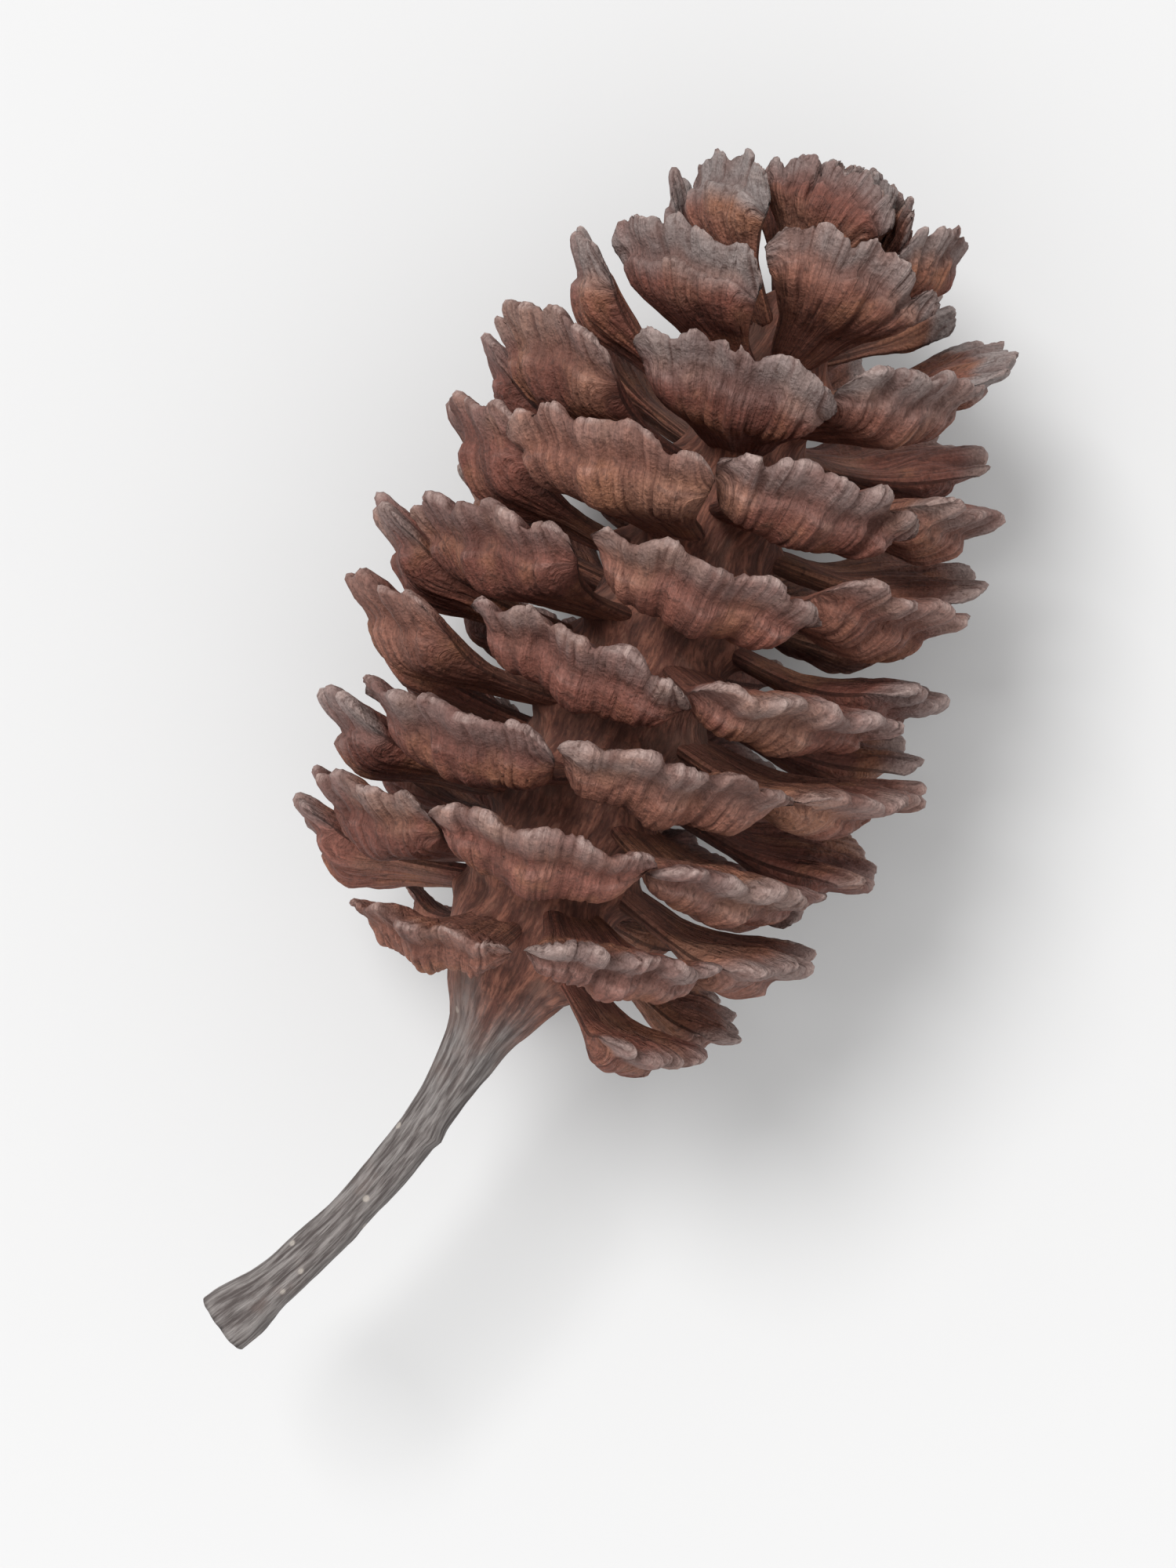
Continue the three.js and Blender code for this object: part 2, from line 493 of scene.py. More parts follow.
# ---- meshes ---------------------------------------------------------------------------------------------


def grid_faces(rows, columns, wrap_rows=False, wrap_columns=False):
    """Quads over a grid of points, row by row."""
    row = np.arange(rows if wrap_rows else rows - 1)[:, None]
    column = np.arange(columns if wrap_columns else columns - 1)[None, :]
    next_row = (row + 1) % rows
    next_column = (column + 1) % columns
    corners = [
        row * columns + column,
        next_row * columns + column,
        next_row * columns + next_column,
        row * columns + next_column,
    ]
    return np.stack([corner.ravel() for corner in corners], axis=1).tolist()


def side_faces(rows, columns):
    """Faces that close a grid with wrapped rows over its first column and over its last."""
    faces = []
    for row in range((rows - 1) // 2):
        corners = dict.fromkeys([row, row + 1, rows - 2 - row, rows - 1 - row])
        first = [columns * corner for corner in corners]
        faces.append(first[::-1])
        faces.append([corner + columns - 1 for corner in first])
    return faces


def make_piece(name, points, faces, marks, relief):
    """A smooth mesh in the row frame, from points in mm. `relief` gives how far each point moves along its
    normal, in mm, though none goes below the floor. `marks` become attributes that the material reads."""
    mesh = bpy.data.meshes.new(name)
    mesh.from_pydata((points * MM).tolist(), [], faces)
    normals = np.zeros(len(points) * 3)
    mesh.vertices.foreach_get("normal", normals)
    moved = points + normals.reshape(-1, 3) * relief[:, None]
    moved[:, 2] = np.maximum(moved[:, 2], 0)
    mesh.vertices.foreach_set("co", (moved * MM).ravel())
    for mark, values in marks.items():
        mesh.attributes.new(mark, "FLOAT", "POINT").data.foreach_set("value", values)
    whole = bmesh.new()
    whole.from_mesh(mesh)
    bmesh.ops.remove_doubles(whole, verts=whole.verts, dist=SAME_POINT * MM)
    whole.to_mesh(mesh)
    whole.free()
    mesh.shade_smooth()
    piece = bpy.data.objects.new(name, mesh)
    bpy.context.scene.collection.objects.link(piece)
    return piece


# ---- a scale --------------------------------------------------------------------------------------------


def scale_side(rng):
    """A scale's outline from the side, as rows of `out` and `through`: over the upper face, out to the thin
    upper rim, down the outer face with the groove between its two lips, and back along the lower face."""
    groove, chin, rim = rng.uniform(-1, 1, 3)
    corners = [
        (0.8, 1),
        (0.93, 1.02),
        (0.995, 1),
        (1.02 + 0.01 * rim, 0.74),
        (0.985, 0.42),
        (0.895, 0.2),
        (0.84 - 0.02 * groove, 0),
        (0.85 - 0.02 * chin, -0.27),
        (0.81 - 0.03 * chin, -0.64),
        (0.74, -0.94),
        (0.67, -1.02),
        (0.6, -1),
    ]
    edge = smooth_path(corners, CORNER_CUTS)
    rim_start, rim_end = edge[0, 0], edge[-1, 0]
    # The steps round the edge are even on a scale of usual size.
    usual_length, usual_half_thickness = 5, 0.8
    lengths = np.hypot(*(np.diff(edge, axis=0) * (usual_length, usual_half_thickness)).T)
    travel = np.concatenate([[0], np.cumsum(lengths)])
    picked = np.linspace(0, travel[-1], RIM_STEPS + 1)
    edge = np.stack([np.interp(picked, travel, edge[:, axis]) for axis in (0, 1)], axis=1)
    upper = np.stack([np.linspace(0, rim_start, UPPER_STEPS + 1)[:-1], np.ones(UPPER_STEPS)], axis=1)
    lower = np.stack([np.linspace(rim_end, 0, LOWER_STEPS + 1)[1:], np.full(LOWER_STEPS, -1)], axis=1)
    return np.vstack([upper, edge, lower])


def lobes(across, rate, floor, power):
    """1 in the middle of each lobe of a scale's edge, falling towards 0 in the notches between them."""
    return (floor + (1 - floor) * np.cos(math.pi / 2 * rate * across) ** 2) ** power


class Skin:
    """The surface of one scale, as a grid. Its columns run across the scale, and its rows start at the foot,
    cross the upper face, turn over the edge and run back underneath."""

    def __init__(self, scale):
        rng = np.random.default_rng(FIRST_SCALE_SEED + scale.index)
        self.scale = scale
        self.curl, self.skew, self.cup, self.wave_start = rng.uniform(-1, 1, 4)
        lobe_strengths = rng.uniform(*LOBE_STRENGTHS, LOBES + 2)
        lobe_shifts = rng.uniform(-1, 1, LOBE_SHIFT_COUNT)
        self.coarse_fibres = rng.uniform(-1, 1, COARSE_FIBRE_COUNT)
        self.fine_fibres = rng.uniform(-1, 1, FINE_FIBRE_COUNT)
        crack_at = rng.uniform(*CRACK_PLACES)
        crack_strength = max(0, rng.uniform(*CRACK_STRENGTHS))
        side = scale_side(rng)
        self.tone = rng.uniform(0, 1)

        crowded = np.sin(np.linspace(-math.pi / 2, math.pi / 2, ACROSS_STEPS + 1))
        self.across = lerp(np.linspace(-1, 1, ACROSS_STEPS + 1), crowded, SIDE_CROWDING)[None, :]
        self.out, self.through = side[:, :1], side[:, 1:]
        self.shape = (len(side), ACROSS_STEPS + 1)
        # Shares from 0 to 1: how far out a point is, how far up through the scale, how much of the edge's
        # shape it has, and how much of the scale's thickness is left there as the sides are rounded.
        self.within = np.clip(self.out, 0, 1)
        self.upper = np.clip((1 + self.through) / 2, 0, 1)
        self.near_rim = smoothstep(self.out, *RIM_ZONE)
        squareness = lerp(*SIDE_SQUARENESS, smoothstep(self.out, *SIDE_ZONE))
        self.round_side = np.sqrt(1 - SIDE_THINNING * np.abs(self.across) ** squareness)

        self.wander = self.across + LOBE_SHIFT * self.round_side * knots(lobe_shifts, self.across)
        self.lobes_above = lobes(self.wander, *LOBES_ABOVE)
        self.lobes_below = lobes(self.wander, *LOBES_BELOW)
        notch_above = knots(lobe_strengths, self.across) * (1 - self.lobes_above)
        notch_below = LOBE_STRENGTH_BELOW * (1 - self.lobes_below)
        self.notch = lerp(notch_below, notch_above, self.upper) * self.near_rim
        self.crack = crack_strength * bell(self.across, crack_at, CRACK_WIDTH)

    def distance_out(self):
        """How far out from its solid's foot each point is, which shapes the scale's edge."""
        scale, across, near_rim = self.scale, self.across, self.near_rim
        reach = scale.length * (1 - EDGE_ROUNDNESS * across**2)
        reach = reach - CORNER_SETBACK * np.abs(across) ** CORNER_POWER
        lobe_depth = LOBE_DEEPENING * LOBE_DEPTH * min(1, scale.edge_half_width / FULL_HALF_WIDTH)
        ragged_places = np.array([(RAGGED_LUMPS * place, 0, scale.index) for place in across[0]])
        ragged = RAGGEDNESS * rough(ragged_places, RAGGED_SEED, 1)
        cut = lobe_depth * self.notch + (CRACK_DEPTH * self.crack - ragged) * near_rim
        foot = (SEAT_GAP + FOOT_DEPTH) * (1 - smoothstep(self.out, *FOOT_ZONE))
        drawn_in = SIDE_SETBACK * (1 - self.round_side) * near_rim
        point = POINT_LENGTH * bell(across, *POINT_ACROSS) * bell(self.through, *POINT_THROUGH) * near_rim
        return reach * self.out - cut * self.round_side - foot - drawn_in + point

    def half_thickness(self):
        """Half the blade's thickness, with the rib below it and less the hollows above it."""
        across, out, near_rim = self.across, self.out, self.near_rim
        thickness = self.scale.thickness(self.within, across) * self.round_side
        thickness = thickness * (1 + CORNER_SWELLING * bell(np.abs(across), *CORNER_PATCH) * near_rim)
        thickness = thickness * (1 - RIM_THINNING * near_rim) * (1 - NOTCH_THINNING * self.notch)
        thickness = thickness * (1 - CRACK_THINNING * np.minimum(self.crack, 1) * near_rim)
        rib = RIB_HEIGHT * bell(across, *RIB_PATCH) * smoothstep(out, *RIB_START_ZONE)
        rib = rib * (1 - smoothstep(out, *RIB_END_ZONE))
        hollow = HOLLOW_DEPTH * bell(np.abs(across), *HOLLOW_ACROSS) * bell(out, *HOLLOW_OUT)
        return thickness / 2 + lerp(rib, -hollow, self.upper) * self.round_side

    def middle_height(self):
        """How far the middle of the blade's thickness stands towards the cone's tip."""
        across, out, within = self.across, self.out, self.within
        lift = BLADE_LIFT * self.scale.length * within**2
        curl = CURL_HEIGHT * self.curl * smoothstep(out, *CURL_ZONE)
        cup = (CUP_HEIGHT + CUP_SPREAD * self.cup) * across**2 * smoothstep(out, *CUP_ZONE)
        skew = SKEW_HEIGHT * self.skew * across * within**2
        wave = np.sin(math.pi * WAVE_RATE * across + WAVE_START_SPREAD * self.wave_start)
        return lift + curl + cup + skew + WAVE_HEIGHT * wave * self.near_rim

    def points(self):
        """The grid's points in the scale's own frame."""
        x = self.distance_out()
        y = self.scale.half_width(self.within) * self.across
        z = self.middle_height() + self.half_thickness() * self.through
        return np.stack([flat(values, self.shape) for values in (x, y, z)], axis=1)

    def on_side(self):
        """How far up or down the scale's side a point is, which parts the fibres there. It is 0 elsewhere."""
        return self.through * smoothstep(np.abs(self.across), *SIDE_STRIP)

    def creased(self):
        """1 along the creases that run out over the scale, and 0 away from them."""
        place_across = CREASES_ACROSS * self.wander + CREASES_ROUND_SIDE * self.on_side()
        place_along = CREASES_ALONG * (self.within - self.through / 2)
        places = (place_across, place_along, CREASES_APART * self.scale.index)
        places = np.stack([flat(values, self.shape) for values in places], axis=1)
        coarse = creases(places, CREASE_SEED, CREASE_WIDTH)
        fine = creases(places * FINE_CREASES, FINE_CREASE_SEED, FINE_CREASE_WIDTH)
        return np.maximum(coarse, FINE_CREASE_SHARE * fine)

    def relief(self, points, crease):
        """How far each point stands out from the smooth shape: fibres, creases and rough wood."""
        here = points + SCALES_APART * self.scale.index
        fibres = knots(self.coarse_fibres, self.wander) + knots(self.fine_fibres, self.wander)
        relief = FIBRE_HEIGHT * flat(fibres * smoothstep(self.out, *FIBRE_ZONE), self.shape)
        relief = relief - CREASE_DEPTH * crease * flat(smoothstep(self.out, *CREASE_ZONE), self.shape)
        relief = relief + WOOD_RELIEF * rough(here, WOOD_SEED, WOOD_LUMP)
        relief = relief + RIM_RELIEF * flat(self.near_rim, self.shape) * rough(here, RIM_SEED, RIM_LUMP)
        return relief * flat(np.sqrt(self.round_side), self.shape)

    def marks(self, crease):
        """What the wood's material reads at each point."""
        crest_above = bell(self.through, *CREST_ABOVE) * self.lobes_above
        crest_below = CREST_BELOW_SHARE * bell(self.through, *CREST_BELOW) * self.lobes_below
        marks = {
            "along": self.within,
            "across": self.across + SIDE_STRIP_FIBRES * self.on_side(),
            "notch": np.clip(self.notch + CRACK_NOTCH * self.crack * self.near_rim, 0, 1),
            "groove": bell(self.through, *GROOVE_PATCH) * (1 - self.across**2),
            "crest": (crest_above + crest_below) * self.near_rim,
            "tone": self.tone,
            "weather": self.scale.weather,
        }
        return {"crease": crease} | {name: flat(values, self.shape) for name, values in marks.items()}


def scale_piece(scale, shift):
    """One woody scale: a wedge whose swollen outer edge has five lobes above and three below."""
    skin = Skin(scale)
    points, crease = skin.points(), skin.creased()
    faces = grid_faces(*skin.shape, wrap_rows=True) + side_faces(*skin.shape)
    relief = skin.relief(points, crease)
    piece = make_piece(scale.name, scale.lay(points) + shift, faces, skin.marks(crease), relief)
    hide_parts(scale.node)
    return piece


# ---- the axis and the stalk -----------------------------------------------------------------------------


def core_rings():
    """The height and radius of each ring of the core, and whether it is part of the stalk's torn end."""
    low, high = CORE_RADIUS[0][0], CORE_RADIUS[-1][0]
    heights = np.linspace(low, high, int((high - low) / CORE_STEP))
    radii = along(CORE_RADIUS, heights)
    padded = np.pad(radii, SMOOTHED_RINGS // 2, mode="edge")
    radii = np.convolve(padded, np.ones(SMOOTHED_RINGS) / SMOOTHED_RINGS, mode="valid")

    # The stalk's end is torn and hollowed, and the tip is domed.
    opening = np.linspace(*END_RING_SHARES, END_RING_COUNT)
    closing = opening[::-1]
    torn_heights = low + TORN_HOLLOW * (1 - opening)
    dome_heights = high + TIP_DOME * np.sqrt(1 - closing**2)
    heights = np.concatenate([torn_heights, heights, dome_heights])
    radii = np.concatenate([radii[0] * opening, radii, radii[-1] * closing])
    is_torn = np.arange(len(heights)) < END_RING_COUNT
    return heights[:, None], radii[:, None], is_torn[:, None]


def round_core(height, radius, angle):
    """Points round the core's middle line, which bends away below height 0."""
    towards = math.radians(STALK_BEND_TOWARDS)
    sideways = np.array([math.cos(towards), math.sin(towards), 0])
    across = np.array([-sideways[1], sideways[0], 0])
    up = np.array([0, 0, 1])
    share = np.clip(-height / STALK_LENGTH, 0, None)
    slope = -2 * STALK_BEND * share / STALK_LENGTH
    inward = radius * np.cos(angle) / np.sqrt(1 + slope**2)
    points = np.multiply.outer(STALK_BEND * share**2 + inward, sideways)
    points = points + np.multiply.outer(height - inward * slope, up)
    points = points + np.multiply.outer(radius * np.sin(angle), across)
    return points.reshape(-1, 3)


def core_piece(scales, shift):
    """The woody axis and the stalk, from the torn end of the stalk to the tip of the axis."""
    rng = np.random.default_rng(CORE_SEED)
    height, ring_radius, is_torn = core_rings()
    angle = np.linspace(0, 2 * math.pi, CORE_SIDES, endpoint=False)[None, :]

    # The axis swells out to meet each scale's foot.
    swelling = 0
    for scale in scales:
        aside = np.angle(np.exp(1j * (angle - math.radians(scale.azimuth - STALK_BEND_TOWARDS))))
        seat = bell(height, scale.height, SEAT_LENGTH) * bell(aside, 0, SEAT_SPREAD)
        swelling = np.maximum(swelling, SEAT_SWELLING * scale.stoutness * seat)

    ridge_heights = np.append(rng.uniform(-1, 1, RIDGE_COUNT), 0)
    ridges = np.interp(angle, np.linspace(0, 2 * math.pi, RIDGE_COUNT + 1), ridge_heights)
    bark_edge = height + BARK_EDGE_WAVE * np.sin(BARK_EDGE_WAVE_COUNT * angle)
    on_stalk = 1 - smoothstep(bark_edge, *BARK_ZONE)
    radius = ring_radius + swelling + RIDGE_HEIGHT * ridges * on_stalk
    for scar_height, scar_angle, scar_relief, scar_length, scar_spread in SCARS:
        scar = bell(height, scar_height, scar_length) * bell(angle, scar_angle, scar_spread)
        radius = radius + scar_relief * scar
    points = round_core(height, radius, angle)

    depth = flat(lerp(FAINTEST_RELIEF, 1, smoothstep(ring_radius, *RELIEF_ZONE)), radius.shape)
    crease = creases(points * CORE_CREASES, CORE_CREASE_SEED, CORE_CREASE_WIDTH)
    relief = CORE_RELIEF * depth * rough(points * CORE_LUMPS, CORE_RELIEF_SEED, CORE_LUMP)
    relief = relief - CORE_CREASE_DEPTH * depth * crease * flat(1 - on_stalk, radius.shape)
    relief = relief + TORN_RELIEF * flat(is_torn, radius.shape) * rough(points, TORN_SEED, TORN_LUMP)
    marks = {"height": height, "around": angle, "bark": on_stalk, "torn": is_torn}
    marks = {"crease": crease} | {name: flat(values, radius.shape) for name, values in marks.items()}

    faces = [face[::-1] for face in grid_faces(*radius.shape, wrap_columns=True)]
    first_ring = list(range(CORE_SIDES))
    last_ring = [radius.size - CORE_SIDES + side for side in first_ring]
    faces += [first_ring[::-1], last_ring]
    piece = make_piece("wood_core", (LAID @ points.T).T + shift, faces, marks, relief)
    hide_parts("stalk_and_axis")
    return piece


# ---- materials ------------------------------------------------------------------------------------------


def srgb(red, green, blue):
    """A display colour, 0 to 255, as the linear colour that shaders take."""
    share = np.array([red, green, blue]) / 255
    linear = np.where(share <= 0.04045, share / 12.92, ((share + 0.055) / 1.055) ** 2.4)
    return (*linear.tolist(), 1.0)


INNER_WOOD = srgb(153, 95, 79)
LIP_WOOD = srgb(143, 89, 76)
DARK_WOOD = srgb(105, 58, 48)  # some whole scales are darker, and others more tan
TAN_WOOD = srgb(174, 125, 102)
DARK_PATCH = srgb(99, 52, 43)
TAN_PATCH = srgb(181, 134, 108)
BETWEEN_FIBRES = srgb(76, 43, 35)
WARM_BLOTCH = srgb(169, 115, 85)
GREYED_RIM = srgb(142, 132, 129)
# Paler wood on the lobes' crests: partly wear, partly a painted highlight.
WORN_AND_HIGHLIT_CREST = srgb(171, 150, 143)
DEEP_SHADE = srgb(82, 49, 41)
SPECK = srgb(72, 47, 40)
GRAIN = srgb(59, 37, 31)

BARK_GROOVE = srgb(78, 70, 68)
BARK_RIDGE = srgb(140, 134, 131)
BARK_BLOTCH = srgb(115, 97, 90)
PORE = srgb(184, 175, 165)
TORN_WOOD = srgb(198, 163, 131)
AXIS_DARK = srgb(103, 62, 51)
AXIS_PALE = srgb(148, 96, 78)
AXIS_DARK_FIBRE = srgb(76, 46, 38)
AXIS_PALE_FIBRE = srgb(168, 122, 101)
# Painted shade in the creases of the axis.
AXIS_CREASE_SHADE = srgb(64, 38, 31)
AXIS_SPECK = srgb(67, 43, 36)
AXIS_BLOTCH = srgb(122, 92, 80)

# How closely each noise's lumps stand, a metre.
PATCHES = 250.0
BLOTCHES = 620.0
BARK_BLOTCHES = 900.0
PORES = 1500.0
SPECKS = 5200.0
GRAINS = 14000.0
# How closely fibres stand across half of a scale and along it, and how far apart unlike scales' noises are.
SCALE_FIBRES = (23.8, 3.64, 85.4)
# How closely streaks stand across the core, in its radius, and along it, in a mm.
RIDGE_STREAKS = (5.7, 1.1)
FIBRE_STREAKS = (19.0, 3.2)

WEATHER_REACH = 0.16  # share of a scale's length
NOTCH_SHADE = 0.75
GROOVE_SHADE = 0.6
CREASE_SHADE = 0.7
FIBRE_BUMP = 0.09 * MM
SPECK_SHARE = 0.8  # of the fibres' bump, as is the next
FINE_STREAK_SHARE = 0.6
GRAIN_BUMP = 0.03 * MM
GRAIN_BUMP_STRENGTH = 0.9
WOOD_SPECULAR = 0.35
WOOD_ROUGHNESS = (0.8, 0.62)  # between the fibres and on them
BARK_ROUGHNESS = 0.78


class Shader:
    """A material and short ways to add nodes to it."""

    def __init__(self, name):
        self.material = bpy.data.materials.new(name)
        self.material.use_nodes = True
        self.tree = self.material.node_tree
        self.surface = self.tree.nodes["Principled BSDF"]

    def add(self, kind, inputs=(), **settings):
        node = self.tree.nodes.new(kind)
        for key, value in settings.items():
            setattr(node, key, value)
        for key, value in dict(inputs).items():
            self.feed(node.inputs[key], value)
        return node

    def feed(self, socket, value):
        if isinstance(value, bpy.types.NodeSocket):
            self.tree.links.new(value, socket)
        else:
            socket.default_value = value

    def mark(self, name):
        return self.add("ShaderNodeAttribute", attribute_name=name).outputs["Fac"]

    def math(self, operation, a, b=0.0, clamp=False):
        return self.add("ShaderNodeMath", {0: a, 1: b}, operation=operation, use_clamp=clamp).outputs[0]

    def remap(self, value, low, high, to_low=0.0, to_high=1.0):
        """The value eased from one range to the other. `low` may be the greater, which turns it round."""
        inputs = {"Value": value, "From Min": low, "From Max": high, "To Min": to_low, "To Max": to_high}
        return self.add("ShaderNodeMapRange", inputs, interpolation_type="SMOOTHSTEP").outputs["Result"]

    def mix(self, share, a, b):
        """The colour that is `a` where the share is 0 and `b` where it is 1."""
        node = self.add("ShaderNodeMix", data_type="RGBA")
        share_socket, a_socket, b_socket = node.inputs[0], node.inputs[6], node.inputs[7]
        self.feed(share_socket, share)
        self.feed(a_socket, a)
        self.feed(b_socket, b)
        return node.outputs[2]

    def cover(self, colour, layers):
        """The colour once each layer, a share from 0 to 1 and a colour, has been laid over it in turn."""
        for share, tint in layers:
            colour = self.mix(share, colour, tint)
        return colour

    def noise(self, where, closeness, detail=3.0, roughness=0.55):
        inputs = {"Vector": where, "Scale": closeness, "Detail": detail, "Roughness": roughness}
        return self.add("ShaderNodeTexNoise", inputs).outputs["Fac"]

    def vector(self, x, y, z):
        return self.add("ShaderNodeCombineXYZ", {0: x, 1: y, 2: z}).outputs[0]

    def place(self):
        return self.add("ShaderNodeTexCoord").outputs["Object"]

    def bump(self, height, depth, strength=1.0, normal=None):
        inputs = {"Height": height, "Distance": depth, "Strength": strength}
        if normal is not None:
            inputs["Normal"] = normal
        return self.add("ShaderNodeBump", inputs).outputs["Normal"]


def scale_wood():
    """Dry matt wood, red-brown in the depths and greyed along the outermost rims."""
    wood = Shader("scale_wood")
    along_scale, across_scale = wood.mark("along"), wood.mark("across")
    notch, groove, crease = (wood.mark(name) for name in ("notch", "groove", "crease"))
    crest, tone, weather = (wood.mark(name) for name in ("crest", "tone", "weather"))

    stretches = zip((across_scale, along_scale, tone), SCALE_FIBRES)
    fibre_place = wood.vector(*(wood.math("MULTIPLY", value, stretch) for value, stretch in stretches))
    fibre = wood.noise(fibre_place, 1.0, 4.0, 0.62)
    place = wood.place()
    blotch = wood.noise(place, BLOTCHES)
    patch = wood.noise(place, PATCHES, 2.0)
    speck = wood.noise(place, SPECKS, 2.0, 0.6)
    grain = wood.noise(place, GRAINS, 2.0, 0.6)

    # Rims are greyed, and the more weathered a scale is, the further in.
    reached = wood.math("ADD", along_scale, wood.math("MULTIPLY", weather, WEATHER_REACH))
    blotchy = wood.remap(blotch, 0.3, 0.6, 0.5, 1.0)
    greyed = wood.math("MULTIPLY", wood.remap(reached, 0.9, 1.06), blotchy)
    greyed = wood.math("MULTIPLY", greyed, weather, clamp=True)
    # The crests of the lobes are worn paler and carry a painted highlight, and the notches, groove and
    # creases get painted shade.
    streaky = wood.remap(fibre, 0.35, 0.6, 0.2, 0.8)
    worn_and_highlit = wood.math("MULTIPLY", wood.remap(crest, 0.35, 1.0), streaky)
    in_notch = wood.math("MULTIPLY", notch, NOTCH_SHADE)
    in_groove = wood.math("MULTIPLY", groove, GROOVE_SHADE)
    in_crease = wood.math("MULTIPLY", crease, CREASE_SHADE)
    shaded = wood.math("MAXIMUM", wood.math("MAXIMUM", in_notch, in_groove), in_crease)
    layers = [
        (wood.remap(along_scale, 0.4, 0.93), LIP_WOOD),
        (wood.remap(tone, 0.3, 1.0, 0.0, 0.6), DARK_WOOD),
        (wood.remap(tone, 0.35, 0.0, 0.0, 0.4), TAN_WOOD),
        (wood.remap(patch, 0.47, 0.34, 0.0, 0.5), DARK_PATCH),
        (wood.remap(patch, 0.52, 0.66, 0.0, 0.55), TAN_PATCH),
        (wood.remap(fibre, 0.66, 0.36, 0.0, 0.5), BETWEEN_FIBRES),
        (wood.remap(blotch, 0.48, 0.7, 0.0, 0.6), WARM_BLOTCH),
        (greyed, GREYED_RIM),
        (worn_and_highlit, WORN_AND_HIGHLIT_CREST),
        (shaded, DEEP_SHADE),
        (wood.remap(speck, 0.56, 0.7, 0.0, 0.55), SPECK),
        (wood.remap(grain, 0.65, 0.35, 0.0, 0.3), GRAIN),
    ]

    wood.feed(wood.surface.inputs["Base Color"], wood.cover(INNER_WOOD, layers))
    wood.feed(wood.surface.inputs["Roughness"], wood.remap(fibre, 0.3, 0.7, *WOOD_ROUGHNESS))
    wood.surface.inputs["Specular IOR Level"].default_value = WOOD_SPECULAR
    height = wood.math("ADD", fibre, wood.math("MULTIPLY", speck, SPECK_SHARE))
    grained = wood.bump(grain, GRAIN_BUMP, GRAIN_BUMP_STRENGTH)
    wood.feed(wood.surface.inputs["Normal"], wood.bump(height, FIBRE_BUMP, normal=grained))
    return wood.material


def stalk_bark():
    """Thin grey-brown bark with length-wise ridges and pale pores, and the reddish wood of the axis."""
    bark = Shader("stalk_bark")
    height, around = bark.mark("height"), bark.mark("around")
    on_stalk, torn, crease = (bark.mark(name) for name in ("bark", "torn", "crease"))

    def streaks(closeness_around, closeness_along):
        side = bark.math("MULTIPLY", bark.math("COSINE", around), closeness_around)
        front = bark.math("MULTIPLY", bark.math("SINE", around), closeness_around)
        streak_place = bark.vector(side, front, bark.math("MULTIPLY", height, closeness_along))
        return bark.noise(streak_place, 1.0, 4.0, 0.6)

    ridge, fibre = streaks(*RIDGE_STREAKS), streaks(*FIBRE_STREAKS)
    place = bark.place()
    blotch = bark.noise(place, BARK_BLOTCHES)
    speck = bark.noise(place, SPECKS, 2.0, 0.6)
    pore = bark.add("ShaderNodeTexVoronoi", {"Vector": place, "Scale": PORES}).outputs["Distance"]

    bark_layers = [
        (bark.remap(ridge, 0.35, 0.68), BARK_RIDGE),
        (bark.remap(blotch, 0.5, 0.75, 0.0, 0.6), BARK_BLOTCH),
        (bark.remap(pore, 0.16, 0.08, 0.0, 0.7), PORE),
    ]
    axis_layers = [
        (bark.remap(ridge, 0.35, 0.65), AXIS_PALE),
        (bark.remap(fibre, 0.56, 0.4, 0.0, 0.65), AXIS_DARK_FIBRE),
        (bark.remap(fibre, 0.56, 0.68, 0.0, 0.4), AXIS_PALE_FIBRE),
        # painted shade along the axis's creases
        (bark.math("MULTIPLY", crease, 0.6), AXIS_CREASE_SHADE),
        (bark.remap(speck, 0.56, 0.7, 0.0, 0.5), AXIS_SPECK),
        (bark.remap(blotch, 0.5, 0.7, 0.0, 0.5), AXIS_BLOTCH),
    ]
    grey_bark = bark.cover(BARK_GROOVE, bark_layers)
    axis_wood = bark.cover(AXIS_DARK, axis_layers)
    colour = bark.cover(axis_wood, [(on_stalk, grey_bark), (torn, TORN_WOOD)])

    bark.feed(bark.surface.inputs["Base Color"], colour)
    bark.surface.inputs["Roughness"].default_value = BARK_ROUGHNESS
    bark.surface.inputs["Specular IOR Level"].default_value = WOOD_SPECULAR
    relief = bark.math("ADD", ridge, bark.math("MULTIPLY", fibre, FINE_STREAK_SHARE))
    bark.feed(bark.surface.inputs["Normal"], bark.bump(relief, FIBRE_BUMP))
    return bark.material


def pale_floor():
    floor = Shader("pale_floor")
    floor.surface.inputs["Base Color"].default_value = (FLOOR_ALBEDO, FLOOR_ALBEDO, FLOOR_ALBEDO, 1)
    floor.surface.inputs["Roughness"].default_value = 1
    floor.surface.inputs["Specular IOR Level"].default_value = 0
    return floor.material


# ---- the stage ------------------------------------------------------------------------------------------

AXIS_LEAN = 24  # degrees that the cone leans to the right of upright in the picture
CAMERA_LEAN = 5  # degrees from straight overhead, towards the cone's tip
FOCAL_LENGTH = 100
SENSOR_WIDTH = 36
FRAME_HEIGHT = 34.5 * MM  # what the picture shows at the cone, from bottom to top
NEAREST_SEEN = 1 * MM
FLOOR_SIZE = 4  # metres
WORLD_STRENGTH = 0.95
KEY_STRENGTH = 0.65
KEY_DIRECTION = Vector((-0.13, 0.09, 0.26))  # towards the light
KEY_ANGLE = 24  # degrees that the light is across, which softens its shadows
FLOOR_ALBEDO = WORLD_STRENGTH / (WORLD_STRENGTH + KEY_STRENGTH)  # so that floor and background match


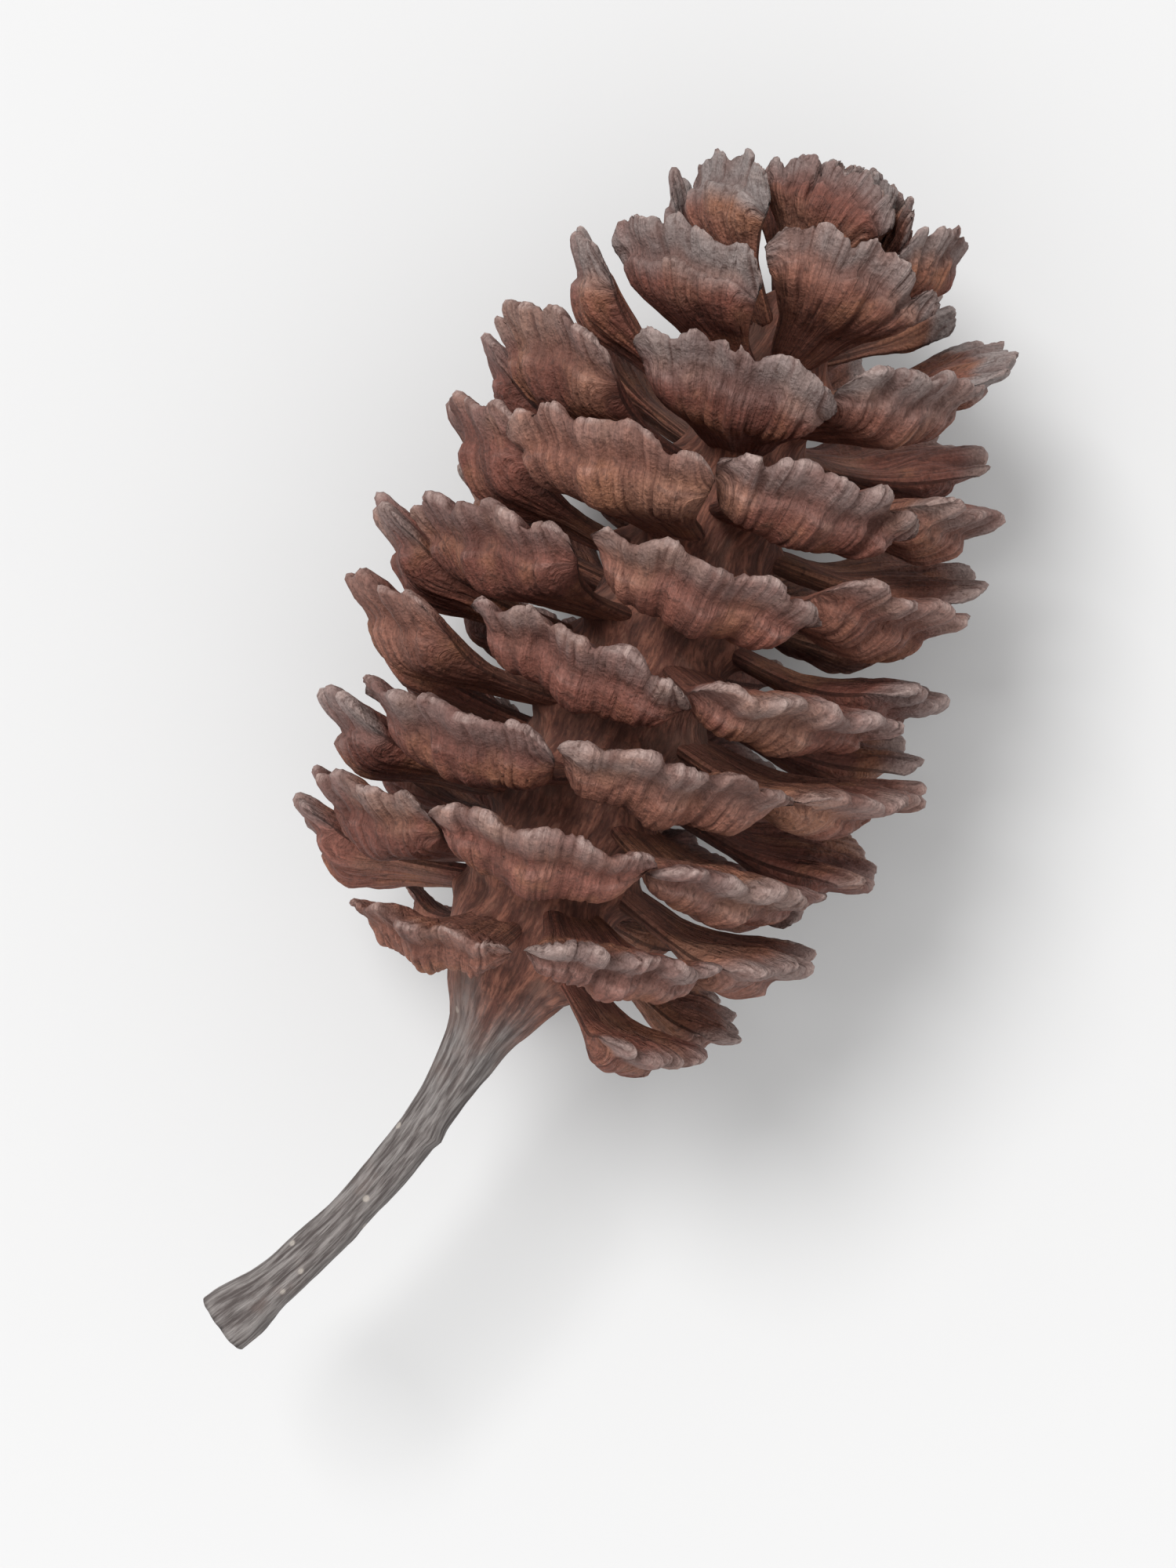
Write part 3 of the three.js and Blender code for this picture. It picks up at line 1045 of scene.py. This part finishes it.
def add_camera(centre):
    """The camera looks down on the cone, turned so that its tip points up and to the right."""
    lean = math.radians(CAMERA_LEAN)
    back = Vector((0, math.sin(lean), math.cos(lean)))
    up = Matrix.Rotation(math.radians(AXIS_LEAN), 3, "Z") @ Vector((0, 1, 0))
    right = up.cross(back).normalized()
    up = back.cross(right)
    lens = bpy.data.cameras.new("camera")
    lens.lens = FOCAL_LENGTH
    lens.sensor_width = SENSOR_WIDTH
    lens.clip_start = NEAREST_SEEN
    camera = bpy.data.objects.new("camera", lens)
    bpy.context.scene.collection.objects.link(camera)
    # The sensor's width lies along the picture's longer side, its height.
    distance = FRAME_HEIGHT / 2 / (SENSOR_WIDTH / 2 / FOCAL_LENGTH)
    turned = Matrix((right, up, back)).transposed().to_4x4()
    camera.matrix_world = Matrix.Translation(centre + back * distance) @ turned
    bpy.context.scene.camera = camera


def add_sun(direction, angle, share):
    """A far, broad soft light from `direction`. It lights the floor as a sky of strength `share` would."""
    lamp = bpy.data.lights.new("key", "SUN")
    lamp.angle = math.radians(angle)
    lamp.energy = share * math.pi / direction.normalized().z
    light = bpy.data.objects.new("key", lamp)
    bpy.context.scene.collection.objects.link(light)
    light.rotation_euler = (-direction).to_track_quat("-Z", "Y").to_euler()


def add_stage():
    mesh = bpy.data.meshes.new("floor")
    half = FLOOR_SIZE / 2
    corners = [(-half, -half, 0), (half, -half, 0), (half, half, 0), (-half, half, 0)]
    mesh.from_pydata(corners, [], [(0, 1, 2, 3)])
    mesh.materials.append(pale_floor())
    floor = bpy.data.objects.new("floor", mesh)
    bpy.context.scene.collection.objects.link(floor)

    world = bpy.data.worlds.new("studio")
    world.use_nodes = True
    sky = world.node_tree.nodes["Background"]
    sky.inputs["Color"].default_value = (1, 1, 1, 1)
    sky.inputs["Strength"].default_value = WORLD_STRENGTH
    bpy.context.scene.world = world
    add_sun(KEY_DIRECTION, KEY_ANGLE, KEY_STRENGTH)
    bpy.context.scene.view_settings.view_transform = "Standard"


# ---- the cone -------------------------------------------------------------------------------------------

scales = [Scale(index) for index in range(SCALE_COUNT)]
shift, shift_error = shift_from_frame(scales)
print(f"shift {shift.round(4).tolist()} mm, agreed to {shift_error:.4f} mm")

scale_material, bark_material = scale_wood(), stalk_bark()
core = core_piece(scales, shift)
core.data.materials.append(bark_material)
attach(core, "root")
for one in scales + [TipScale(step) for step in range(TIP_SCALE_COUNT)]:
    piece = scale_piece(one, shift)
    piece.data.materials.append(scale_material)
    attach(piece, "root")

middle = (Vector(cad_box[0]) + Vector(cad_box[1])) / 2
add_stage()
add_camera(middle)
